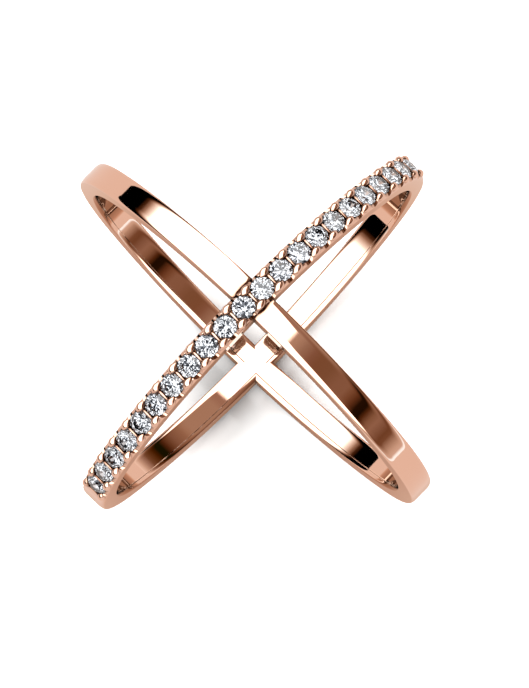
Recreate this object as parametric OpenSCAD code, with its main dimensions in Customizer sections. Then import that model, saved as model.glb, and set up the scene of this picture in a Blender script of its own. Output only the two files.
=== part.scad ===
// Crossover ring: two flat hoops that cross in an X at the front and at the back, with one row
// of round brilliants along one front arm.
// Millimetres. +Z points from the finger to the front of the ring, the finger goes along Y, and
// the origin is on the floor under the middle of the rear crossing, on which the ring lies.
// Each hoop is drawn flat, in X (along the arm), Y (towards the front) and Z (across the band),
// and is then stood up and turned to its diagonal.

/* [Hoops] */
// Half length of a hoop, from the middle of the ring to the outside of a tip
hoop_half = 14.4; // [14:0.1:15]
// Half depth of a hoop, from the middle of the ring to the outside of the rear crossing
hoop_depth = 10.8; // [10.6:0.1:11]
// Outside radius of the tight bend at the tips of a hoop
tip_radius = 8.2; // [8:0.1:8.4]
// Thickness of the bands, from the finger to the outside
band_t = 1.35; // [1.2:0.05:1.5]
// Width of the plain front arm
plain_w = 1.7; // [1.7:0.05:1.8]
// Width of both hoops at the rear crossing
rear_w = 1.64; // [1.5:0.02:1.64]
// Rounding of the bands' long edges
edge_r = 0.2; // [0.1:0.05:0.25]
// Angle between a hoop and the ring's left-right direction
hoop_turn = 45; // [43:0.5:47]

/* [Setting] */
// Number of stones in the row
stone_count = 22; // [20:2:22]
// Distance between two stones, along the outside of the setting
stone_pitch = 1.62; // [1.6:0.01:1.64]
// Width of the arm that carries the stones
row_w = 1.82; // [1.8:0.02:1.9]
// Height of the setting above the plain front arm at the crossing
row_raise = 0.2; // [0.16:0.02:0.3]
// Depth of the recess between the two side walls
recess_depth = 0.14; // [0.1:0.02:0.18]
// Width of the recess
recess_w = 1.24; // [1.2:0.02:1.3]
// Depth of the U-cuts in the side walls
scallop_depth = 0.18; // [0.14:0.02:0.22]
// Radius of the U-cuts
scallop_r = 0.52; // [0.48:0.02:0.56]
// Radius of the drilled hole under each stone
drill_r = 0.34; // [0.3:0.02:0.38]
// Radius of a prong
prong_r = 0.24; // [0.2:0.01:0.25]
// Height of the prongs above the side walls
prong_h = 0.22; // [0.18:0.01:0.26]
// Lean of the prongs towards the stones
prong_lean = 18; // [12:1:20]

/* [Stones] */
// Diameter of a stone
stone_d = 1.42; // [1.38:0.01:1.44]
// Depth of the girdle below the top of the side walls
girdle_drop = 0.08; // [0.06:0.01:0.12]
// Table corners across, as a share of the diameter
table_share = 0.58; // [0.54:0.01:0.62]
// Angle of the crown's main facets
crown_angle = 34; // [32:1:36]
// Angle of the pavilion's main facets
pavilion_angle = 40.5; // [39:0.5:42]
// Thickness of the girdle
girdle_t = 0.04; // [0.03:0.005:0.05]
// Gap between a stone and the metal
stone_gap = 0.03; // [0.02:0.005:0.04]

/* [Hidden] */
// Overshoot of the cutting shapes
cut = 1;
// The setting stands this far proud of the band at its two ends, and this far at its two sides
rail_step = 0.04;
rail_side = 0.015;
// Metal beyond the recess at each end of the row
end_wall = 0.45;
// How deep the setting reaches into the band
rail_depth = 0.8;
// Flats that make up each rounded edge
edge_flats = 3;
// The tip arcs are this much slimmer all round than the flat arcs, and start this many degrees
// inside them, so that the two join in one clean step
join_step = 0.01;
join_turn = 1;
// Hoop A's setting follows its own, slightly larger oval
rail_half = hoop_half + rail_step;
rail_top = hoop_depth + row_raise;
// The row's last stones, recess ends and rail ends, as distances along the setting
stone_r = stone_d / 2;
last_stone = (stone_count - 1) / 2 * stone_pitch;
recess_end = last_stone + stone_r + 3 * stone_gap;
rail_end = recess_end + end_wall;
// Prongs stand in the side walls
prong_side = row_w / 2 - prong_r - 2 * stone_gap;
prong_root = recess_depth + stone_gap;
// Straight part of a prong above the side walls, and flats of its dome
prong_neck = 0.04;
dome_flats = 3;
// Stone heights above the girdle's top edge and below its bottom edge
crown_h = stone_r * (1 - table_share) * tan(crown_angle);
pavilion_h = stone_r * tan(pavilion_angle);
// Corner radius of the octagonal table
table_r = stone_r * table_share;
// Inner corners of the lower halves, as a share of the radius
lower_share = 0.26;

// Name of a stone's node
function stone_name(i) = str("stone_", i < 10 ? "0" : "", i);

// A four-centre oval is [half length, half depth, tip radius, flat radius, half angle of the flat
// arc]: two flat arcs at the front and back, and two tight arcs at the tips that run on smoothly.
function oval(a, b, r) =
    let (flat = (a * a + b * b - 2 * a * r) / (2 * (b - r)))
    [a, b, r, flat, atan2(a - r, flat - b)];
band_oval = oval(hoop_half, hoop_depth, tip_radius);
rail_oval = oval(rail_half, rail_top, tip_radius);

// Angle from the front, at a distance along the outside of an oval from its front middle
function angle_at(o, s) =
    let (flat_length = o[3] * o[4] * PI / 180)
    abs(s) <= flat_length ? s / o[3] * 180 / PI
        : sign(s) * (o[4] + (abs(s) - flat_length) / o[2] * 180 / PI);

// Centre and radius of the arc that an angle from the front falls on, as [x, y, radius]
function arc_at(o, g) =
    abs(g) <= o[4] ? [0, o[1] - o[3], o[3]] : [sign(g) * (o[0] - o[2]), 0, o[2]];

// A section with rounded corners: radius from r - t to r, width w, centred across the band
function rounded_section(r, t, w, e) =
    [for (c = [[r - e, w / 2 - e, 0], [r - t + e, w / 2 - e, 90],
               [r - t + e, e - w / 2, 180], [r - e, e - w / 2, 270]])
        for (k = [0:edge_flats])
            [c[0] + e * cos(c[2] + k * 90 / edge_flats), c[1] + e * sin(c[2] + k * 90 / edge_flats)]];

// A plain section: radius from r - t to r, width w
function square_section(r, t, w) = [[r - t, -w / 2], [r, -w / 2], [r, w / 2], [r - t, w / 2]];

// Sweeps a section along one arc, from one angle to another, both from the front
module arc_sweep(centre, from, to, section) {
    translate([centre[0], centre[1], 0])
        rotate([0, 0, 90 - to])
            rotate_extrude(angle = to - from, $fn = 180)
                polygon(section);
}

// One hoop, flat, with rounded edges and straight sides
module hoop_ring(w) {
    side = arc_at(band_oval, 90);
    flat = arc_at(band_oval, 0);
    turn = band_oval[4];
    slim = 2 * join_step;
    for (back = [0, 180]) rotate([0, 0, back]) {
        arc_sweep(flat, -turn, turn, rounded_section(flat[2], band_t, w, edge_r));
        arc_sweep(side, turn - join_turn, 180 - turn + join_turn,
            rounded_section(side[2] - join_step, band_t - slim, w - slim, edge_r));
    }
}

// The rear half of a hoop narrows evenly from the tips to the rear crossing
module hoop(w) {
    slope = (w - rear_w) / 2 / hoop_depth;
    deep = hoop_depth + cut;
    difference() {
        hoop_ring(w);
        for (m = [0, 1]) mirror([0, 0, m])
            rotate([0, -90, 0])
                linear_extrude(2 * (hoop_half + cut), center = true)
                    polygon([[w / 2 + slope * cut, cut], [w / 2 + cut, cut],
                             [w / 2 + cut, -deep], [w / 2 - slope * deep, -deep]]);
    }
}

// A strip along the setting's oval out to the distance end each side of the front, from the depth
// t below the surface to the height h above it
module rail_strip(end, t, h, w) {
    o = rail_oval;
    stop = angle_at(o, end);
    flat = arc_at(o, 0);
    start = o[4] - join_turn;
    slim = 2 * join_step;
    arc_sweep(flat, -o[4], o[4], square_section(flat[2] + h, t + h, w));
    for (side = [-1, 1]) {
        tip = arc_at(o, side * 90);
        arc_sweep(tip, min(side * start, side * stop), max(side * start, side * stop),
            square_section(tip[2] + h - join_step, t + h - slim, w - slim));
    }
}

// Places its children on the setting at the distance s from the front: X along the row, Y across
// it, Z outwards, and Z = 0 at the top of the side walls
module on_row(s) {
    g = angle_at(rail_oval, s);
    arc = arc_at(rail_oval, g);
    translate([arc[0] + arc[2] * sin(g), arc[1] + arc[2] * cos(g), 0])
        rotate([0, 0, -g])
            rotate([-90, 0, 0])
                children();
}

// Distance of stone i from the front, negative at the first stones
function stone_place(i) = (i - (stone_count + 1) / 2) * stone_pitch;

// The room cut out for one stone: its seat, the drilled hole under it and the U-cuts beside it
module seat() {
    open_r = stone_r + stone_gap;
    ledge = -girdle_drop - girdle_t - stone_gap;
    rotate_extrude($fn = 64)
        polygon([[0, cut], [open_r, cut], [open_r, ledge],
                 [drill_r, ledge - (open_r - drill_r) * tan(pavilion_angle)],
                 [drill_r, -band_t - row_raise - cut], [0, -band_t - row_raise - cut]]);
    translate([0, 0, scallop_r - scallop_depth])
        rotate([90, 0, 0])
            cylinder(h = row_w + 4 * rail_step, r = scallop_r, center = true, $fn = 64);
}

// One prong with a domed top, leaning over the stones
module prong(side) {
    translate([0, side * prong_side, 0])
        rotate([side * prong_lean, 0, 0])
            rotate_extrude($fn = 32)
                polygon(concat([[0, -prong_root], [prong_r, -prong_root]],
                    [for (k = [0:dome_flats]) let (lift = k * 90 / dome_flats)
                        [prong_r * cos(lift), prong_neck + (prong_h - prong_neck) * sin(lift)]]));
}

// Stands a flat hoop up on its back and turns it to its diagonal
module stand(turn) {
    translate([0, 0, hoop_depth])
        rotate([0, 0, turn])
            rotate([90, 0, 0])
                children();
}

// Everything metal: both hoops, the setting and the prongs are one casting
module band() {
    color([0.86, 0.62, 0.50]) {
        difference() {
            union() {
                stand(-hoop_turn) hoop(plain_w);
                stand(hoop_turn) union() {
                    hoop(row_w - 2 * rail_side);
                    rail_strip(rail_end, rail_depth, 0, row_w);
                }
            }
            stand(hoop_turn) rail_strip(recess_end, recess_depth, cut, recess_w);
            stand(hoop_turn) for (i = [1:stone_count]) on_row(stone_place(i)) seat();
        }
        stand(hoop_turn)
            for (k = [0:stone_count], side = [-1, 1])
                on_row(stone_place(k) + stone_pitch / 2) prong(side);
    }
}

// A round brilliant, girdle at Z = 0 downwards: rings of corners every 22.5 degrees from the
// table to the culet, with the stars' and lower halves' corners set so that each kite is flat
module brilliant() {
    step = 22.5;
    star_r = (table_r + stone_r) / 2;
    star_h = crown_h * (stone_r - star_r * cos(step)) / (stone_r - table_r);
    low_r = stone_r * lower_share;
    low_h = girdle_t + pavilion_h * (1 - low_r * cos(step) / stone_r);
    function ring(r, z, odd) =
        [for (k = [0:7]) [r * cos((2 * k + odd) * step), r * sin((2 * k + odd) * step), z]];
    points = concat(
        ring(table_r, crown_h, 0), ring(star_r, star_h, 1),
        ring(stone_r, 0, 0), ring(stone_r, 0, 1),
        ring(stone_r, -girdle_t, 0), ring(stone_r, -girdle_t, 1),
        ring(low_r, -low_h, 1), [[0, 0, -girdle_t - pavilion_h]]);
    // First corner of each ring: table, stars, girdle top, girdle bottom, lower halves, culet
    t = 0; s = 8; ge = 16; go = 24; be = 32; bo = 40; l = 48; c = 56;
    faces = concat(
        [[for (k = [7:-1:0]) t + k]],
        [for (k = [0:7]) let (n = (k + 1) % 8, p = (k + 7) % 8) each [
            [t + k, t + n, s + k],
            [t + k, s + k, ge + k, s + p],
            [s + k, go + k, ge + k],
            [s + k, ge + n, go + k],
            [ge + k, go + k, bo + k, be + k],
            [go + k, ge + n, be + n, bo + k],
            [l + k, be + k, bo + k],
            [l + k, bo + k, be + n],
            [be + k, l + k, c, l + p]]]);
    polyhedron(points, faces, convexity = 2);
}

// Stone i, seated in its place in the row
module stone(i) {
    color([0.93, 0.95, 1.0])
        stand(hoop_turn) on_row(stone_place(i))
            translate([0, 0, -girdle_drop]) brilliant();
}

band();
for (i = [1:stone_count]) stone(i);
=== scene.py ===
"""Crossover ring with one stone-set arm, lying on its rear crossing on a pale floor.

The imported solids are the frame. The cut stones are shown as they are, with a crystal finish, and
the casting is built anew from seamless hoops, a stone row with cut seats, and claws.
Shapes are drawn in millimetres, each hoop lying flat, and are then stood up and made metres.
"""
import logging
import math
from dataclasses import dataclass
from enum import Enum
from typing import ClassVar, Iterable, Sequence

import bmesh
import bpy
from mathutils import Matrix, Vector


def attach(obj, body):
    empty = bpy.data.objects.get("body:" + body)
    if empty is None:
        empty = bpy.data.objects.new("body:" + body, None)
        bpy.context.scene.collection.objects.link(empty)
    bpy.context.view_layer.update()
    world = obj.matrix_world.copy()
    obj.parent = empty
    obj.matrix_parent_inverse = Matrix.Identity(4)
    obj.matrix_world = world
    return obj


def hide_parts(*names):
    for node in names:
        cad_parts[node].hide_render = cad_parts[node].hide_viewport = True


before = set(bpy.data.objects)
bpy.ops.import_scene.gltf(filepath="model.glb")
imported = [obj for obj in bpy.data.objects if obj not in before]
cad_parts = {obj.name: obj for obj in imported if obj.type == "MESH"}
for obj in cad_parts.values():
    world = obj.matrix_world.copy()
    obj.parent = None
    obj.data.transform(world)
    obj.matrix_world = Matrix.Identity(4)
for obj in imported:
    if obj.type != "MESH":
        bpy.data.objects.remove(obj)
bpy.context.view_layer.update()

log = logging.getLogger("ring")

# Metres in a millimetre
MM = 0.001
# Millimetres under which two vertices are one
WELD = 1e-4
# Millimetres from the end of a flat to the loop that keeps its shading flat
HOLD = 0.02
# Angle between the sections of a sweep on the flat arcs, and round the tips
FLAT_STEP = math.radians(1.0)
TIP_STEP = math.radians(1.6)
# Flats round a cut, and round a claw or a bar
CUT_FLATS = 48
CLAW_FLATS = 20
# Angle from which an edge stays sharp
SHARP = math.radians(32)
# A colour, a place or a direction
Triple = tuple[float, float, float]
# The (place, colour) pairs of a ramp
Stops = Sequence[tuple[float, Triple]]


class Shading(Enum):
    """How a piece's faces are shaded."""

    SMOOTH = "smooth"
    BY_ANGLE = "smooth, with sharp edges kept"


# Shapes


@dataclass(frozen=True)
class Oval:
    """A four-centre oval: flat arcs at the front and back, tight arcs at the two tips.

    Its middle is half away from the tips and depth away from the front and back, and tip_r is the
    radius of the tips. Angles are measured from the front, positive towards the first tip.
    """

    half: float
    depth: float
    tip_r: float

    @property
    def flat_r(self) -> float:
        """Radius of the flat arcs."""
        square = self.half**2 + self.depth**2 - 2 * self.half * self.tip_r
        return square / (2 * (self.depth - self.tip_r))

    @property
    def turn(self) -> float:
        """Half the angle of a flat arc, in radians."""
        return math.atan2(self.half - self.tip_r, self.flat_r - self.depth)

    def centre(self, angle: float) -> tuple[Vector, float]:
        """Centre and radius of the arc on which an angle falls.

        Args:
            angle: angle from the front, in radians, from -pi to pi.

        Returns:
            The arc's centre in the hoop's plane, and its radius.
        """
        if abs(angle) <= self.turn:
            return Vector((0.0, self.depth - self.flat_r, 0.0)), self.flat_r
        if abs(angle) >= math.pi - self.turn:
            return Vector((0.0, self.flat_r - self.depth, 0.0)), self.flat_r
        return Vector((math.copysign(self.half - self.tip_r, angle), 0.0, 0.0)), self.tip_r

    def angle_at(self, distance: float) -> float:
        """Angle from the front at a distance along the oval.

        Args:
            distance: distance along the oval from its front middle, in millimetres.

        Returns:
            The angle, in radians.
        """
        flat = self.flat_r * self.turn
        if abs(distance) <= flat:
            return distance / self.flat_r
        return math.copysign(self.turn + (abs(distance) - flat) / self.tip_r, distance)

    def locate(self, point: Vector) -> tuple[float, float]:
        """Angle from the front and height above the oval of a point near it.

        Args:
            point: a point in the hoop's plane.

        Returns:
            The angle in radians and the height in millimetres, negative inside.
        """
        front = point.y >= 0
        lift = self.flat_r - self.depth
        across = Vector((point.x, abs(point.y) + lift))
        angle = math.atan2(across.x, across.y)
        height = across.length - self.flat_r
        if abs(angle) > self.turn:
            side = math.copysign(self.half - self.tip_r, point.x)
            across = Vector((point.x - side, abs(point.y)))
            angle = math.atan2(across.x, across.y)
            height = across.length - self.tip_r
        return (angle if front else math.copysign(math.pi, point.x) - angle), height

    def on(self, distance: float) -> Matrix:
        """Place on the oval at a distance from the front: X along, Y across, Z outwards.

        Args:
            distance: distance along the oval from its front middle, in millimetres.

        Returns:
            The place as a matrix, in the flat hoop's millimetres.
        """
        angle = self.angle_at(distance)
        centre, radius = self.centre(angle)
        out = Vector((math.sin(angle), math.cos(angle), 0.0))
        turned = Matrix.Rotation(-angle, 4, "Z") @ Matrix.Rotation(-math.pi / 2, 4, "X")
        return Matrix.Translation(centre + radius * out) @ turned


@dataclass(frozen=True)
class Ring:
    """The ring's driving sizes, in millimetres and radians, as in the part's source."""

    half: float = 14.4
    depth: float = 10.8
    tip_r: float = 8.2
    thick: float = 1.35
    plain_w: float = 1.7
    row_w: float = 1.82
    rear_w: float = 1.64
    edge_w: float = 0.42
    edge_d: float = 0.14
    turn: float = math.radians(45)
    row_raise: float = 0.2
    rail_step: float = 0.04
    stones: int = 22
    pitch: float = 1.62
    stone_r: float = 0.71
    gap: float = 0.03
    girdle_low: float = 0.12
    drill_r: float = 0.34
    recess_w: float = 1.24
    recess_depth: float = 0.14
    scallop_r: float = 0.52
    scallop_depth: float = 0.18
    pavilion: float = math.radians(40.5)

    @property
    def band(self) -> Oval:
        """Outline of both hoops."""
        return Oval(self.half, self.depth, self.tip_r)

    @property
    def rail(self) -> Oval:
        """Outline of the setting's top."""
        return Oval(self.half + self.rail_step, self.depth + self.row_raise, self.tip_r)

    @property
    def recess_end(self) -> float:
        """Distance from the front to the end wall of the recess."""
        return self.place(self.stones) + self.stone_r + 3 * self.gap

    def place(self, stone: float) -> float:
        """Distance of a stone from the front, negative at the first ones."""
        return (stone - (self.stones + 1) / 2) * self.pitch

    def stand(self, turn: float) -> Matrix:
        """Stands a flat hoop up on its back and turns it to its diagonal, in millimetres."""
        up = Matrix.Rotation(turn, 4, "Z") @ Matrix.Rotation(math.pi / 2, 4, "X")
        return Matrix.Translation((0.0, 0.0, self.depth)) @ up


# Mesh helpers


def rounded_strip(thick: float, width: float, edge: tuple[float, float]) -> bmesh.types.BMesh:
    """An edge loop of a band's section: a rectangle with softly rounded corners.

    Args:
        thick: size along Y, from -thick to 0.
        width: size along Z, centred.
        edge: how far the rounding of a corner reaches across the band, and into it.

    Returns:
        A mesh that holds only the loop, in the plane X = 0.
    """
    squeeze = edge[1] / edge[0]
    bm = bmesh.new()
    bmesh.ops.create_grid(bm, x_segments=1, y_segments=1, size=0.5)
    bmesh.ops.scale(bm, vec=(width, thick / squeeze, 1.0), verts=bm.verts)
    bmesh.ops.bevel(bm, geom=bm.verts[:], offset=edge[0], offset_type="OFFSET", segments=10,
                    profile=0.5, affect="VERTICES", material=-1)
    flats = [item for item in bm.edges if item.calc_length() > edge[0]]
    # Two cuts in each flat, moved out to its ends
    cut = bmesh.ops.subdivide_edges(bm, edges=flats, cuts=2)["geom_inner"]
    held = [item for item in cut if isinstance(item, bmesh.types.BMVert)]
    for axis, span in enumerate((width / 2 - edge[0], thick / squeeze / 2 - edge[0])):
        verts = [vert for vert in held if abs(vert.co[axis]) < span / 2]
        grow = [1.0, 1.0, 1.0]
        grow[axis] = 3 * (span - HOLD) / span
        bmesh.ops.scale(bm, vec=grow, verts=verts)
    bmesh.ops.scale(bm, vec=(1.0, squeeze, 1.0), verts=bm.verts)
    bmesh.ops.translate(bm, vec=(0.0, -thick / 2, 0.0), verts=bm.verts)
    bmesh.ops.rotate(bm, verts=bm.verts, cent=(0, 0, 0), matrix=Matrix.Rotation(-math.pi / 2, 3, "Y"))
    bmesh.ops.delete(bm, geom=bm.faces[:], context="FACES_ONLY")
    return bm


def sweep(bm: bmesh.types.BMesh, oval: Oval, start: float, stop: float,
          tip_step: float = TIP_STEP) -> None:
    """Sweeps the loop in a mesh along an oval, and closes or caps it.

    Args:
        bm: holds one loop in the plane X = 0, with Y = 0 for the oval's surface.
        oval: the outline to follow.
        start: first angle from the front, in radians.
        stop: last angle, at most a full turn on.
        tip_step: angle between the sections round the tips.
    """
    centre, radius = oval.centre(start)
    bmesh.ops.translate(bm, vec=centre + Vector((0.0, radius, 0.0)), verts=bm.verts)
    bmesh.ops.rotate(bm, verts=bm.verts, cent=centre, matrix=Matrix.Rotation(-start, 3, "Z"))
    first = bm.edges[:]
    joints = [-oval.turn, oval.turn, math.pi - oval.turn, math.pi + oval.turn, 2 * math.pi - oval.turn]
    last, angle = first, start
    for end in [joint for joint in joints if start < joint < stop] + [stop]:
        middle = (angle + end) / 2
        centre, radius = oval.centre(middle if middle <= math.pi else middle - 2 * math.pi)
        step = tip_step if radius == oval.tip_r else FLAT_STEP
        made = bmesh.ops.spin(bm, geom=last, cent=centre, axis=(0, 0, 1), angle=-(end - angle),
                              steps=max(1, round((end - angle) / step)), use_merge=False,
                              use_duplicate=False)
        last = [item for item in made["geom_last"] if isinstance(item, bmesh.types.BMEdge)]
        angle = end
    if stop - start > 2 * math.pi - WELD:
        bmesh.ops.remove_doubles(bm, verts=bm.verts, dist=WELD)
    else:
        for rim in (first, last):
            bmesh.ops.contextual_create(bm, geom=rim)
    bmesh.ops.recalc_face_normals(bm, faces=bm.faces)


def taper(bm: bmesh.types.BMesh, ring: Ring, width: float) -> None:
    """Narrows the rear half of a flat hoop evenly from the tips to the rear crossing.

    Args:
        bm: the hoop.
        ring: the ring's sizes.
        width: the hoop's width at the front.
    """
    for vert in bm.verts:
        if vert.co.y < 0:
            share = min(1.0, -vert.co.y / ring.depth)
            vert.co.z *= 1 + share * (ring.rear_w / width - 1)


def turned(bm: bmesh.types.BMesh, profile: Sequence[tuple[float, float]], steps: int,
           place: Matrix) -> None:
    """Adds a turned shape to a mesh.

    Args:
        bm: the mesh.
        profile: (radius, height) corners from axis to axis.
        steps: flats round it.
        place: where it goes.
    """
    own = bmesh.new()
    verts = [own.verts.new((radius, 0.0, height)) for radius, height in profile]
    edges = [own.edges.new(pair) for pair in zip(verts, verts[1:])]
    bmesh.ops.spin(own, geom=verts + edges, cent=(0, 0, 0), axis=(0, 0, 1), angle=2 * math.pi,
                   steps=steps, use_merge=True, use_duplicate=False)
    bmesh.ops.remove_doubles(own, verts=own.verts, dist=WELD)
    bmesh.ops.recalc_face_normals(own, faces=own.faces)
    bmesh.ops.transform(own, matrix=place, verts=own.verts)
    mesh = bpy.data.meshes.new("turned")
    own.to_mesh(mesh)
    own.free()
    bm.from_mesh(mesh)
    bpy.data.meshes.remove(mesh)


def cut_away(bm: bmesh.types.BMesh, cutters: Iterable[bmesh.types.BMesh]) -> bmesh.types.BMesh:
    """Takes each cutter out of a mesh, one after the other.

    Args:
        bm: the body, which is freed.
        cutters: closed meshes whose own shells don't overlap, which are freed.

    Returns:
        The cut body.
    """
    scene = bpy.context.scene.collection
    body = bpy.data.objects.new("body", bpy.data.meshes.new("body"))
    bm.to_mesh(body.data)
    bm.free()
    scene.objects.link(body)
    tools = []
    for cutter in cutters:
        tool = bpy.data.objects.new("tool", bpy.data.meshes.new("tool"))
        bmesh.ops.recalc_face_normals(cutter, faces=cutter.faces)
        cutter.to_mesh(tool.data)
        cutter.free()
        scene.objects.link(tool)
        cut = body.modifiers.new("cut", "BOOLEAN")
        cut.operation, cut.solver, cut.object = "DIFFERENCE", "EXACT", tool
        tools.append(tool)
    bpy.context.view_layer.update()
    done = bmesh.new()
    done.from_mesh(body.evaluated_get(bpy.context.evaluated_depsgraph_get()).to_mesh())
    for leftover in [body, *tools]:
        mesh = leftover.data
        bpy.data.objects.remove(leftover)
        bpy.data.meshes.remove(mesh)
    return done


def make_piece(bm: bmesh.types.BMesh, name: str, finish: bpy.types.Material, place: Matrix,
               shading: Shading) -> bpy.types.Object:
    """Turns a mesh in millimetres into a finished piece of metal that rides on the ring.

    Args:
        bm: the mesh, which is freed.
        name: the piece's name.
        finish: its material.
        place: where it goes, in millimetres.
        shading: how its faces are shaded.

    Returns:
        The piece.
    """
    bmesh.ops.transform(bm, matrix=Matrix.Scale(MM, 4) @ place, verts=bm.verts)
    for face in bm.faces:
        face.smooth = True
    mesh = bpy.data.meshes.new(name)
    bm.to_mesh(mesh)
    bm.free()
    if shading is Shading.BY_ANGLE:
        mesh.set_sharp_from_angle(angle=SHARP)
    piece = bpy.data.objects.new(name, mesh)
    bpy.context.scene.collection.objects.link(piece)
    mesh.materials.append(finish)
    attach(piece, "root")
    log.info("%s: %d faces", name, len(mesh.polygons))
    return piece


# Finishes


class Nodes:
    """A short way to add and join the nodes of one tree."""

    def __init__(self, tree: bpy.types.NodeTree) -> None:
        """Empties the tree."""
        self.tree = tree
        tree.nodes.clear()

    def add(self, kind: str, inputs: dict | None = None, **settings: object) -> bpy.types.Node:
        """Adds a node.

        Args:
            kind: the node's type.
            inputs: values for its sockets, or sockets to join to them.
            settings: its properties.

        Returns:
            The node.
        """
        node = self.tree.nodes.new(kind)
        for key, value in settings.items():
            setattr(node, key, value)
        for key, value in (inputs or {}).items():
            if isinstance(value, bpy.types.NodeSocket):
                self.tree.links.new(value, node.inputs[key])
            else:
                node.inputs[key].default_value = value
        return node

    def math(self, operation: str, *values: object) -> bpy.types.NodeSocket:
        """A calculation on sockets and numbers, not clamped."""
        node = self.add("ShaderNodeMath", dict(enumerate(values)), operation=operation)
        return node.outputs[0]

    def along(self, vector: bpy.types.NodeSocket, way: Triple) -> bpy.types.NodeSocket:
        """How far a vector goes along a way, as their dot product."""
        node = self.add("ShaderNodeVectorMath", {0: vector, 1: way}, operation="DOT_PRODUCT")
        return node.outputs["Value"]

    def ease(self, value: bpy.types.NodeSocket, low: float, high: float) -> bpy.types.NodeSocket:
        """0 below low and 1 above high, with a smooth step between."""
        node = self.add("ShaderNodeMapRange", {"Value": value, "From Min": low, "From Max": high},
                        interpolation_type="SMOOTHSTEP")
        return node.outputs["Result"]

    def mix(self, factor: bpy.types.NodeSocket, first: object, second: object) -> bpy.types.NodeSocket:
        """A mix of two colours, each a triple or a socket.

        Args:
            factor: 0 for the first and 1 for the second.
            first: the first colour.
            second: the second colour.

        Returns:
            The mixed colour.
        """
        node = self.add("ShaderNodeMix", data_type="RGBA")
        for name, value in (("Factor", factor), ("A", first), ("B", second)):
            socket = next(s for s in node.inputs if s.enabled and s.name == name)
            if isinstance(value, bpy.types.NodeSocket):
                self.tree.links.new(value, socket)
            else:
                socket.default_value = (*value, 1.0)
        return next(s for s in node.outputs if s.enabled)

    def ramp(self, value: bpy.types.NodeSocket, stops: Stops,
             stepped: bool = False) -> bpy.types.NodeSocket:
        """A colour ramp.

        Args:
            value: what runs along it.
            stops: (place, colour) pairs.
            stepped: whether each colour holds until the next place.

        Returns:
            The colour.
        """
        node = self.add("ShaderNodeValToRGB", {"Fac": value})
        node.color_ramp.interpolation = "CONSTANT" if stepped else "LINEAR"
        bar = node.color_ramp.elements
        while len(bar) < len(stops):
            bar.new(0.5)
        for element, (place, colour) in zip(bar, stops):
            element.position, element.color = place, (*colour, 1.0)
        return node.outputs["Color"]


@dataclass(frozen=True)
class RoseGold:
    """Mirror-polished rose gold with faint polishing marks.

    Its colour wanders between deep and light. Metal that is mirrored in metal takes the darker
    colour again, a painted reflection, and crevices up to crevice wide fade to shade, a painted
    shadow of ambient occlusion. Lengths are in metres, and scales are in waves a metre.
    """

    light: Triple = (0.83, 0.52, 0.39)
    deep: Triple = (0.815, 0.50, 0.37)
    # Painted reflection: the colour of metal seen mirrored in metal
    painted_reflection_tone: Triple = (0.48, 0.44, 0.40)
    # Painted shadow: the dark colour that crevices fade to
    painted_shade: Triple = (0.11, 0.045, 0.02)
    crevice: float = 0.0008
    crevice_open: tuple[float, float] = (0.62, 1.0)
    gloss: tuple[float, float] = (0.02, 0.04)
    cloud_scale: float = 260.0
    mark_scale: float = 5200.0
    mark_depth: float = 0.00002
    mark_strength: float = 0.012

    def build(self) -> bpy.types.Material:
        """Makes the material."""
        material = bpy.data.materials.new("rose_gold_polished")
        material.use_nodes = True
        nodes = Nodes(material.node_tree)
        where = nodes.add("ShaderNodeTexCoord").outputs["Object"]
        cloud = nodes.add("ShaderNodeTexNoise", {
            "Vector": where, "Scale": self.cloud_scale, "Detail": 3.0})
        marks = nodes.add("ShaderNodeTexNoise", {
            "Vector": where, "Scale": self.mark_scale, "Detail": 2.0})
        tone = nodes.mix(cloud.outputs["Fac"], self.deep, self.light)
        # Painted reflection: metal seen in a mirror ray takes the darker colour
        mirrored = nodes.add("ShaderNodeLightPath").outputs["Is Glossy Ray"]
        tone = nodes.mix(mirrored, tone, self.painted_reflection_tone)
        # Painted shadow: crevices up to about crevice wide darken, by ambient occlusion
        open_air = nodes.add("ShaderNodeAmbientOcclusion", {"Distance": self.crevice}, samples=8)
        tone = nodes.mix(nodes.ease(open_air.outputs["AO"], *self.crevice_open), self.painted_shade, tone)
        rough = nodes.add("ShaderNodeMapRange", {
            "Value": cloud.outputs["Fac"], "To Min": self.gloss[0], "To Max": self.gloss[1]})
        bump = nodes.add("ShaderNodeBump", {
            "Strength": self.mark_strength, "Distance": self.mark_depth,
            "Height": marks.outputs["Fac"]})
        metal = nodes.add("ShaderNodeBsdfPrincipled", {
            "Base Color": tone, "Metallic": 1.0, "Roughness": rough.outputs["Result"],
            "Normal": bump.outputs["Normal"]})
        nodes.add("ShaderNodeOutputMaterial", {"Surface": metal.outputs["BSDF"]})
        return material


@dataclass(frozen=True)
class Crystal:
    """Clear cut stone with polished facets, whose colour wanders between cool and tint."""

    tint: Triple = (0.97, 0.985, 1.0)
    cool: Triple = (0.88, 0.92, 1.0)
    ior: float = 2.2
    shine: float = 0.12
    cloud_scale: float = 900.0

    def build(self) -> bpy.types.Material:
        """Makes the material."""
        material = bpy.data.materials.new("crystal_cut")
        material.use_nodes = True
        nodes = Nodes(material.node_tree)
        where = nodes.add("ShaderNodeTexCoord").outputs["Object"]
        cloud = nodes.add("ShaderNodeTexNoise", {
            "Vector": where, "Scale": self.cloud_scale, "Detail": 1.0})
        tone = nodes.mix(cloud.outputs["Fac"], self.cool, self.tint)
        glass = nodes.add("ShaderNodeBsdfPrincipled", {
            "Base Color": tone, "Roughness": 0.0, "IOR": self.ior, "Transmission Weight": 1.0,
            "Specular IOR Level": self.shine})
        nodes.add("ShaderNodeOutputMaterial", {"Surface": glass.outputs["BSDF"]})
        return material


# The ring


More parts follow.
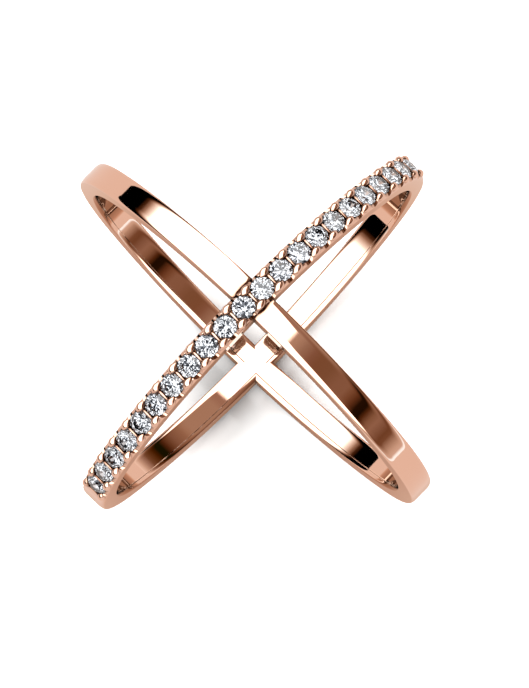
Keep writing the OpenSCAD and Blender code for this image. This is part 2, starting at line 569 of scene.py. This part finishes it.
@dataclass(frozen=True)
class PlainHoop:
    """The plain polished hoop, open where it butts against the stone row.

    Its ends go end_depth into the row's walls, and it is thinner by slack than the other hoop, so
    that their inner faces don't coincide at the rear crossing.
    """

    ring: Ring
    end_depth: float = 0.1
    slack: float = 0.003

    def build(self, finish: bpy.types.Material) -> bpy.types.Object:
        """Builds the hoop."""
        ring = self.ring
        bm = rounded_strip(ring.thick - self.slack, ring.plain_w, (ring.edge_w, ring.edge_d))
        start = math.asin((ring.row_w / 2 - self.end_depth) / ring.band.flat_r)
        sweep(bm, ring.band, start, 2 * math.pi - start)
        taper(bm, ring, ring.plain_w)
        return make_piece(bm, "plain_hoop", finish, ring.stand(-ring.turn), Shading.SMOOTH)


@dataclass(frozen=True)
class StoneHoop:
    """The hoop that carries the stones: recess, drilled seats and scalloped side walls.

    Along the row the corner of the section reaches wall[0] across and wall[1] in, and beyond its
    ends this fades to the plain corner over the angle fade. The recess is recess_flare times wider
    at recess_top over the setting. Each seat is cylindrical up to seat_lip under the setting, and
    seat_flare wider at seat_top over it.
    """

    ring: Ring
    wall: tuple[float, float] = (0.30, 0.40)
    fade: float = math.radians(24)
    recess_top: float = 1.0
    recess_flare: float = 1.84
    seat_lip: float = 0.03
    seat_top: float = 0.5
    seat_flare: float = 0.22
    scallop_in: float = 0.1
    scallop_lean: float = math.radians(31)

    def build(self, finish: bpy.types.Material) -> bpy.types.Object:
        """Builds the hoop and cuts its setting."""
        ring = self.ring
        bm = rounded_strip(ring.thick, ring.row_w, (ring.edge_w, ring.edge_d))
        sweep(bm, ring.band, 0.0, 2 * math.pi)
        self.raise_row(bm)
        taper(bm, ring, ring.row_w)
        bm = cut_away(bm, [self.recess(), self.seats(), self.scallops()])
        return make_piece(bm, "stone_hoop", finish, ring.stand(ring.turn), Shading.BY_ANGLE)

    def raise_row(self, bm: bmesh.types.BMesh) -> None:
        """Lifts the outer face to the setting's outline and rounds its walls along the row.

        Args:
            bm: the flat hoop.
        """
        ring, band, rail = self.ring, self.ring.band, self.ring.rail
        end, side = rail.angle_at(ring.recess_end), self.ring.row_w / 2
        for vert in bm.verts:
            angle, height = band.locate(vert.co)
            if height < -ring.thick / 2 or abs(angle) > end + self.fade:
                continue
            share = min(1.0, (end + self.fade - abs(angle)) / self.fade)
            share = share * share * (3 - 2 * share)
            across = ring.edge_w + (self.wall[0] - ring.edge_w) * share
            deep = ring.edge_d + (self.wall[1] - ring.edge_d) * share
            # How far into the corner the point is, from 0 at its inner end to 1 at the side
            over = (abs(vert.co.z) - side) / ring.edge_w + 1
            z = side + (over - 1) * across if over > 0 else abs(vert.co.z) + ring.edge_w - across
            level = max(height / ring.edge_d * deep, height + ring.edge_d - deep)
            vert.co.z = math.copysign(z, vert.co.z)
            # From the band's surface to the setting's
            out = Vector((math.sin(angle), math.cos(angle), 0.0))
            surface = vert.co - height * out
            gap = rail.locate(surface)[1]
            vert.co = surface + out * (level - gap * share)

    def recess(self) -> bmesh.types.BMesh:
        """The channel between the side walls."""
        ring, rail = self.ring, self.ring.rail
        low, high = -ring.recess_depth, self.recess_top
        bm = bmesh.new()
        bmesh.ops.create_grid(bm, x_segments=1, y_segments=1, size=0.5)
        bmesh.ops.scale(bm, vec=(high - low, ring.recess_w, 1.0), verts=bm.verts)
        bmesh.ops.translate(bm, vec=((high + low) / 2, 0.0, 0.0), verts=bm.verts)
        top = [vert for vert in bm.verts if vert.co.x > 0]
        bmesh.ops.scale(bm, vec=(1.0, self.recess_flare, 1.0), verts=top)
        for axis in ("Z", "Y"):
            quarter = Matrix.Rotation(math.pi / 2, 3, axis)
            bmesh.ops.rotate(bm, verts=bm.verts, cent=(0, 0, 0), matrix=quarter)
        bmesh.ops.delete(bm, geom=bm.faces[:], context="FACES_ONLY")
        end = rail.angle_at(ring.recess_end)
        sweep(bm, rail, -end, end, tip_step=FLAT_STEP)
        return bm

    def seats(self) -> bmesh.types.BMesh:
        """The seats with the drilled hole under each stone."""
        ring = self.ring
        open_r = ring.stone_r + ring.gap
        ledge = -ring.girdle_low - ring.gap
        cone = (open_r - ring.drill_r) * math.tan(ring.pavilion)
        above, below = self.seat_top, -ring.thick - ring.row_raise - self.seat_top
        levels = [(0.0, above), (open_r + self.seat_flare, above), (open_r, -self.seat_lip),
                  (open_r, ledge), (ring.drill_r, ledge - cone), (ring.drill_r, below), (0.0, below)]
        bm = bmesh.new()
        for stone in range(1, ring.stones + 1):
            turned(bm, levels, CUT_FLATS, ring.rail.on(ring.place(stone)))
        return bm

    def scallops(self) -> bmesh.types.BMesh:
        """The U-cuts across the side walls beside each stone."""
        ring = self.ring
        half = ring.scallop_r
        out, up = ring.row_w / 2 - self.scallop_in, half - ring.scallop_depth
        drum = [(0.0, -half), (half, -half), (half, half), (0.0, half)]
        bm = bmesh.new()
        for stone in range(1, ring.stones + 1):
            for side in (-1, 1):
                wall = Matrix.Translation((0.0, side * out, up))
                lean = Matrix.Rotation(math.pi / 2 - side * self.scallop_lean, 4, "X")
                turned(bm, drum, CUT_FLATS, ring.rail.on(ring.place(stone)) @ wall @ lean)
        return bm


@dataclass(frozen=True)
class Claws:
    """The almond-shaped claws that hold the stones, in pairs joined by a saddle bar.

    A thinner bar, the rim, closes each end of the row. size is half a claw's length, width and
    height, and side and sink place its middle beside and under the setting's middle line.
    """

    ring: Ring
    size: Triple = (0.48, 0.27, 0.27)
    side: float = 0.63
    sink: float = 0.07
    lean: float = math.radians(4)
    twist: float = math.radians(10)
    bar_r: float = 0.095
    bar_sink: float = 0.05
    rim_r: float = 0.05
    rim_sink: float = 0.02
    rim_out: float = 0.03

    def build(self, finish: bpy.types.Material) -> bpy.types.Object:
        """Builds all claws as one piece."""
        ring = self.ring
        bm = bmesh.new()
        for gap in range(ring.stones + 1):
            place = ring.rail.on(ring.place(gap) + ring.pitch / 2)
            for side in (-1, 1):
                self.claw(bm, place, side)
            if 0 < gap < ring.stones:
                self.bar(bm, place, self.bar_r, self.bar_sink)
        for end in (-1, 1):
            self.bar(bm, ring.rail.on(end * (ring.recess_end + self.rim_out)), self.rim_r, self.rim_sink)
        return make_piece(bm, "claws", finish, ring.stand(ring.turn), Shading.SMOOTH)

    def claw(self, bm: bmesh.types.BMesh, place: Matrix, side: int) -> None:
        """Adds one claw: a turned almond, laid along the row and squeezed.

        Args:
            bm: the mesh.
            place: the middle of the gap between two stones.
            side: 1 or -1 for the two walls.
        """
        steps = 12
        heights = [2 * step / steps - 1 for step in range(steps + 1)]
        profile = [(1 - height**2, height) for height in heights]
        long, wide, tall = self.size
        own = Matrix.Translation((0.0, side * self.side, -self.sink))
        lean = Matrix.Rotation(side * self.lean, 4, "X") @ Matrix.Rotation(self.twist, 4, "Z")
        laid = Matrix.Diagonal((long, wide, tall, 1.0)) @ Matrix.Rotation(math.pi / 2, 4, "Y")
        turned(bm, profile, CLAW_FLATS, place @ own @ lean @ laid)

    def bar(self, bm: bmesh.types.BMesh, place: Matrix, radius: float, sink: float) -> None:
        """Adds a round bar across the row.

        Args:
            bm: the mesh.
            place: the middle of the bar on the setting.
            radius: the bar's radius.
            sink: depth of its axis.
        """
        long = 2 * self.side
        across = Matrix.Rotation(math.pi / 2, 4, "X") @ Matrix.Translation((0.0, 0.0, -long / 2))
        low = Matrix.Translation((0.0, 0.0, -sink))
        rod = [(0.0, 0.0), (radius, 0.0), (radius, long), (0.0, long)]
        turned(bm, rod, CLAW_FLATS, place @ low @ across)


@dataclass(frozen=True)
class Stones:
    """The cut stones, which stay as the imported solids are."""

    ring: Ring

    def dress(self, finish: bpy.types.Material) -> None:
        """Gives every stone its finish."""
        for number in range(1, self.ring.stones + 1):
            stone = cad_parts[f"stone_{number:02d}"]
            stone.data.materials.clear()
            stone.data.materials.append(finish)
        log.info("stones: %d dressed", self.ring.stones)


# The studio


@dataclass(frozen=True)
class Camera:
    """The camera of the photograph.

    It is distance metres from the ring's middle, leaning from straight above by drop towards -Y
    and by yaw towards +X. The ring's middle lies at aim_px in a picture of frame_px.
    """

    ring: Ring
    distance: float = 0.3
    focal_px: float = 4832.0
    yaw: float = math.radians(0.13)
    drop: float = math.radians(11.23)
    roll: float = math.radians(1.0)
    aim_px: tuple[float, float] = (254.4, 333.6)
    frame_px: tuple[int, int] = (529, 688)

    def build(self) -> None:
        """Makes the camera."""
        data = bpy.data.cameras.new("camera")
        data.sensor_width = 36.0
        data.lens = self.focal_px * data.sensor_width / max(self.frame_px)
        data.clip_start, data.clip_end = 0.01, 20.0
        level = math.cos(self.drop)
        back = Vector((math.sin(self.yaw) * level, -math.sin(self.drop), math.cos(self.yaw) * level))
        right = Vector((0.0, 1.0, 0.0)).cross(back).normalized()
        up = back.cross(right)
        turn = (math.cos(self.roll), math.sin(self.roll))
        right, up = right * turn[0] - up * turn[1], right * turn[1] + up * turn[0]
        per_px = self.distance / self.focal_px
        aside = (self.frame_px[0] / 2 - self.aim_px[0]) * per_px
        above = (self.aim_px[1] - self.frame_px[1] / 2) * per_px
        centre = Vector((0.0, 0.0, self.ring.depth * MM))
        spot = centre + back * self.distance + right * aside + up * above
        axes = Matrix((right, up, back)).transposed().to_4x4()
        camera = bpy.data.objects.new("camera", data)
        camera.matrix_world = Matrix.Translation(spot) @ axes
        bpy.context.scene.collection.objects.link(camera)
        bpy.context.scene.camera = camera
        log.info("camera: %.0f mm lens", data.lens)


@dataclass(frozen=True)
class Floor:
    """The pale floor, in metres.

    The camera sees its paint, fading to shade within painted_shadow_reach of painted_shadow_at, a
    painted contact shadow. All else sees PAINTED_GLOW by the distance from the middle over
    painted_glow_reach: painted light that the ring mirrors, darker and warmer near the middle as a
    painted shadow.
    """

    # Painted light seen by all but the camera, darker and warmer near the middle as painted shadow
    PAINTED_GLOW: ClassVar[Stops] = (
        (0.12, (0.40, 0.25, 0.17)), (0.3, (0.54, 0.36, 0.27)), (0.4, (0.62, 0.41, 0.31)),
        (0.5, (0.78, 0.58, 0.46)), (0.65, (0.95, 0.87, 0.83)))

    radius: float = 3.0
    paint: Triple = (0.83, 0.85, 0.855)
    gloss: float = 0.05
    # Painted contact shadow: its dark colour, its middle and its reach
    painted_shade: Triple = (0.31, 0.325, 0.33)
    painted_shadow_at: Triple = (-0.0018, -0.0008, 0.0)
    painted_shadow_reach: float = 0.007
    painted_glow_reach: float = 0.03

    def build(self) -> None:
        """Lays the floor."""
        bm = bmesh.new()
        bmesh.ops.create_circle(bm, cap_ends=True, segments=96, radius=self.radius)
        mesh = bpy.data.meshes.new("floor")
        bm.to_mesh(mesh)
        bm.free()
        floor = bpy.data.objects.new("floor", mesh)
        bpy.context.scene.collection.objects.link(floor)
        mesh.materials.append(self.finish())
        log.info("floor: %.0f m across", 2 * self.radius)

    def finish(self) -> bpy.types.Material:
        """Makes its material."""
        material = bpy.data.materials.new("pale_floor")
        material.use_nodes = True
        nodes = Nodes(material.node_tree)
        where = nodes.add("ShaderNodeTexCoord").outputs["Object"]
        # Painted light: mirrors see the floor glowing, darker near the middle as painted shadow
        away = nodes.add("ShaderNodeVectorMath", {0: where}, operation="LENGTH").outputs["Value"]
        painted_glow = nodes.add("ShaderNodeEmission", {
            "Color": nodes.ramp(nodes.math("DIVIDE", away, self.painted_glow_reach), self.PAINTED_GLOW)})
        # Painted contact shadow: the paint turns darker near where the ring rests
        aside = nodes.add("ShaderNodeVectorMath", {0: where, 1: self.painted_shadow_at}, operation="DISTANCE")
        shown = nodes.mix(nodes.ease(aside.outputs["Value"], 0.0, self.painted_shadow_reach),
                          self.painted_shade, self.paint)
        paint = nodes.add("ShaderNodeBsdfPrincipled", {"Base Color": shown, "Roughness": self.gloss})
        seen = nodes.add("ShaderNodeLightPath").outputs["Is Camera Ray"]
        both = nodes.add("ShaderNodeMixShader", {0: seen, 1: painted_glow.outputs[0], 2: paint.outputs[0]})
        nodes.add("ShaderNodeOutputMaterial", {"Surface": both.outputs[0]})
        material.cycles.emission_sampling = "NONE"
        return material


@dataclass(frozen=True)
class Light:
    """The light: large soft boxes all round, with dark gaps between them.

    SKY and FRONT are the sky towards WEST and away from it, by the height along UP: a soft box with
    a black gap under it, and one with a pale strip under it. SOUTH and NORTH are the halves of the
    dim wall in front of the sky, by height. EDGES are the wall's sides, each a direction that leads
    in and half its softness. SPARK is what the stones' facets show, a cell of the sky at a time,
    and BRIGHT is the direction in which the cells get brighter.
    """

    SKY: ClassVar[Stops] = (
        (0.0, (0.0, 0.0, 0.0)), (0.23, (0.0, 0.0, 0.0)), (0.265, (0.08, 0.03, 0.01)),
        (0.30, (0.40, 0.28, 0.21)), (0.33, (0.85, 0.8, 0.75)), (0.36, (1.3, 1.5, 1.6)),
        (0.40, (3.4, 3.4, 3.4)))
    FRONT: ClassVar[Stops] = (
        (0.0, (1.1, 1.35, 1.5)), (0.04, (1.1, 1.3, 1.4)), (0.09, (0.8, 0.7, 0.65)),
        (0.14, (0.6, 0.48, 0.4)), (0.24, (0.6, 0.48, 0.4)), (0.30, (0.95, 0.9, 0.85)),
        (0.36, (3.4, 3.4, 3.4)))
    SOUTH: ClassVar[Stops] = (
        (0.0, (1.3, 1.7, 2.0)), (0.03, (1.3, 1.7, 2.0)), (0.07, (0.8, 0.7, 0.65)),
        (0.12, (0.7, 0.58, 0.5)), (0.18, (0.45, 0.33, 0.26)), (0.23, (0.22, 0.11, 0.06)),
        (0.27, (0.19, 0.09, 0.045)), (0.32, (0.26, 0.15, 0.1)), (0.38, (0.34, 0.215, 0.155)),
        (0.43, (0.27, 0.16, 0.1)), (0.48, (0.1, 0.035, 0.01)), (0.51, (0.015, 0.006, 0.001)),
        (0.56, (0.02, 0.008, 0.002)), (0.60, (0.13, 0.05, 0.02)), (0.64, (0.22, 0.11, 0.06)),
        (0.68, (0.285, 0.17, 0.115)), (0.74, (0.28, 0.165, 0.11)), (0.80, (0.235, 0.13, 0.075)),
        (0.86, (0.235, 0.125, 0.07)), (0.89, (0.27, 0.15, 0.1)), (0.92, (0.36, 0.25, 0.19)),
        (0.95, (0.55, 0.43, 0.35)))
    NORTH: ClassVar[Stops] = (
        (0.0, (1.06, 1.02, 1.0)), (0.05, (0.71, 0.6, 0.52)), (0.09, (0.45, 0.33, 0.28)),
        (0.14, (0.21, 0.11, 0.06)), (0.18, (0.14, 0.06, 0.02)), (0.23, (0.07, 0.02, 0.0)),
        (0.27, (0.01, 0.01, 0.0)), (0.32, (0.01, 0.01, 0.0)), (0.36, (0.09, 0.03, 0.01)),
        (0.40, (0.17, 0.08, 0.04)), (0.45, (0.26, 0.15, 0.1)), (0.53, (0.35, 0.22, 0.15)),
        (0.57, (0.43, 0.3, 0.22)), (0.60, (0.455, 0.335, 0.26)), (0.80, (0.455, 0.335, 0.26)),
        (0.83, (0.4, 0.27, 0.21)))
    SPARK: ClassVar[Stops] = (
        (0.0, (0.03, 0.034, 0.042)), (0.16, (0.125, 0.135, 0.155)), (0.31, (0.38, 0.395, 0.42)),
        (0.43, (1.9, 1.9, 1.9)))
    EDGES: ClassVar[Sequence[tuple[Triple, float]]] = (
        ((1.0, 0.0, -0.285), 0.02), ((1.0, 0.44, -0.195), 0.03), ((0.927, -0.375, 0.0), 0.03))
    WEST: ClassVar[Triple] = (-0.917, 0.399, 0.0)
    UP: ClassVar[Triple] = (0.0, 0.03, 1.0)
    BRIGHT: ClassVar[Triple] = (0.18, 0.18, -0.14)

    sky_blend: tuple[float, float] = (-0.05, 0.15)
    wall_blend: tuple[float, float] = (-0.25, 0.25)
    cells: float = 10.0
    backdrop: Triple = (1.1, 1.1, 1.1)

    def build(self) -> None:
        """Makes the world: the metal mirrors the boxes, the stones show the sparks.

        Only the stones' facets are perfectly sharp, which tells their rays apart. The camera itself
        sees a plain backdrop.
        """
        bpy.context.scene.view_settings.view_transform = "Standard"
        world = bpy.data.worlds.new("soft_boxes")
        bpy.context.scene.world = world
        world.use_nodes = True
        nodes = Nodes(world.node_tree)
        way = nodes.add("ShaderNodeTexCoord").outputs["Generated"]
        boxes = nodes.add("ShaderNodeBackground", {"Color": self.boxes(nodes, way)})
        sparks = nodes.add("ShaderNodeBackground", {"Color": self.sparks(nodes, way)})
        plain = nodes.add("ShaderNodeBackground", {"Color": (*self.backdrop, 1.0)})
        path = nodes.add("ShaderNodeLightPath").outputs
        both = nodes.add("ShaderNodeMixShader", {
            0: path["Is Singular Ray"], 1: boxes.outputs[0], 2: sparks.outputs[0]})
        both = nodes.add("ShaderNodeMixShader", {
            0: path["Is Camera Ray"], 1: both.outputs[0], 2: plain.outputs[0]})
        nodes.add("ShaderNodeOutputWorld", {"Surface": both.outputs[0]})
        log.info("light: %s", world.name)

    def boxes(self, nodes: Nodes, way: bpy.types.NodeSocket) -> bpy.types.NodeSocket:
        """The sky of soft boxes, with the dim wall in front of it.

        Args:
            nodes: the world's nodes.
            way: the direction looked in.

        Returns:
            The colour in that direction.
        """
        height = nodes.along(way, self.UP)
        sky = nodes.mix(nodes.ease(nodes.along(way, self.WEST), *self.sky_blend),
                        nodes.ramp(height, self.FRONT), nodes.ramp(height, self.SKY))
        parts = nodes.add("ShaderNodeSeparateXYZ", {"Vector": way}).outputs
        wall = nodes.mix(nodes.ease(parts["Y"], *self.wall_blend),
                         nodes.ramp(parts["Z"], self.SOUTH), nodes.ramp(parts["Z"], self.NORTH))
        inside, *others = [nodes.ease(nodes.along(way, into), -soft, soft) for into, soft in self.EDGES]
        for other in others:
            inside = nodes.math("MULTIPLY", inside, other)
        return nodes.mix(inside, sky, wall)

    def sparks(self, nodes: Nodes, way: bpy.types.NodeSocket) -> bpy.types.NodeSocket:
        """The light and dark cells that the stones show.

        Args:
            nodes: the world's nodes.
            way: the direction looked in.

        Returns:
            The colour in that direction.
        """
        cell = nodes.add("ShaderNodeTexVoronoi", {"Vector": way, "Scale": self.cells})
        pick = nodes.add("ShaderNodeSeparateColor", {"Color": cell.outputs["Color"]}).outputs["Red"]
        pick = nodes.math("ADD", pick, nodes.along(way, self.BRIGHT))
        return nodes.ramp(pick, self.SPARK, stepped=True)


def main() -> None:
    """Builds the ring and the studio."""
    logging.basicConfig(level=logging.INFO, format="%(message)s")
    ring = Ring()
    for part in (Camera(ring), Floor(), Light()):
        part.build()
    gold, crystal = RoseGold().build(), Crystal().build()
    PlainHoop(ring).build(gold)
    stone_hoop = StoneHoop(ring).build(gold)
    Claws(ring).build(gold)
    Stones(ring).dress(crystal)
    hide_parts("band")


if __name__ == "__main__":
    main()
